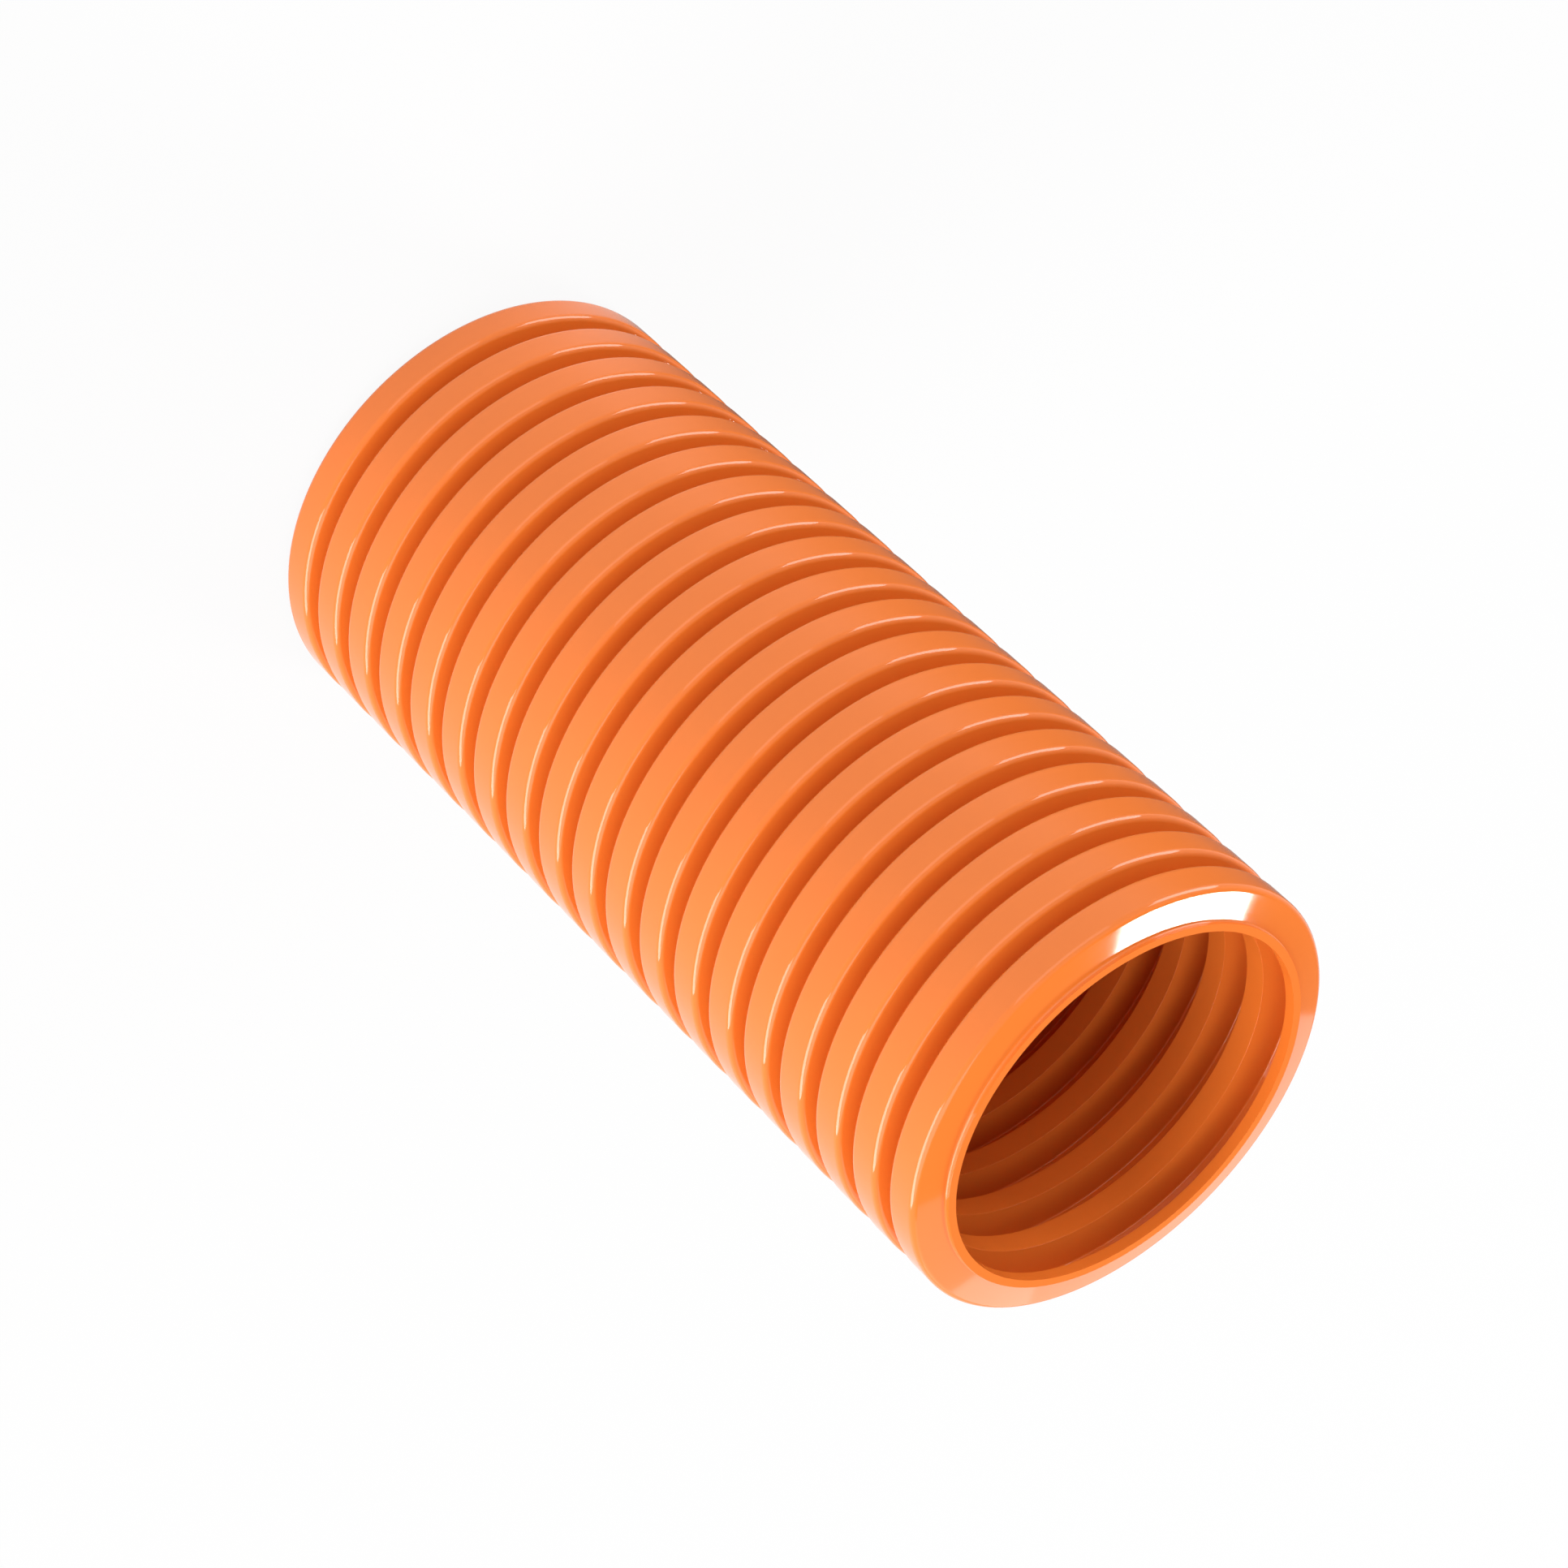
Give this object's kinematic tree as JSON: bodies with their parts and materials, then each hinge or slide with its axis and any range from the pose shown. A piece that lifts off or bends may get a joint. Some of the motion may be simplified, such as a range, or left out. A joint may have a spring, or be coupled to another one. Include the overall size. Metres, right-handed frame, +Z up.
{
  "type": "corrugated cable conduit",
  "caption": "Flexible ringed plastic conduit that sleeves and protects a run of cables, cut square through a groove at both ends.",
  "frame": {"origin": "middle of the lower end, on the surface that the tube stands on", "axes": "+Z up along the tube's axis; the tube stands on one cut end and both its ends are the same"},
  "size_m": [0.0344, 0.0344, 0.0771],
  "materials": {
    "orange_plastic": "moulded orange plastic, glossy and smooth"
  },
  "bodies": {
    "root": {"corrugated_tube": "orange_plastic"}
  },
  "joints": []
}
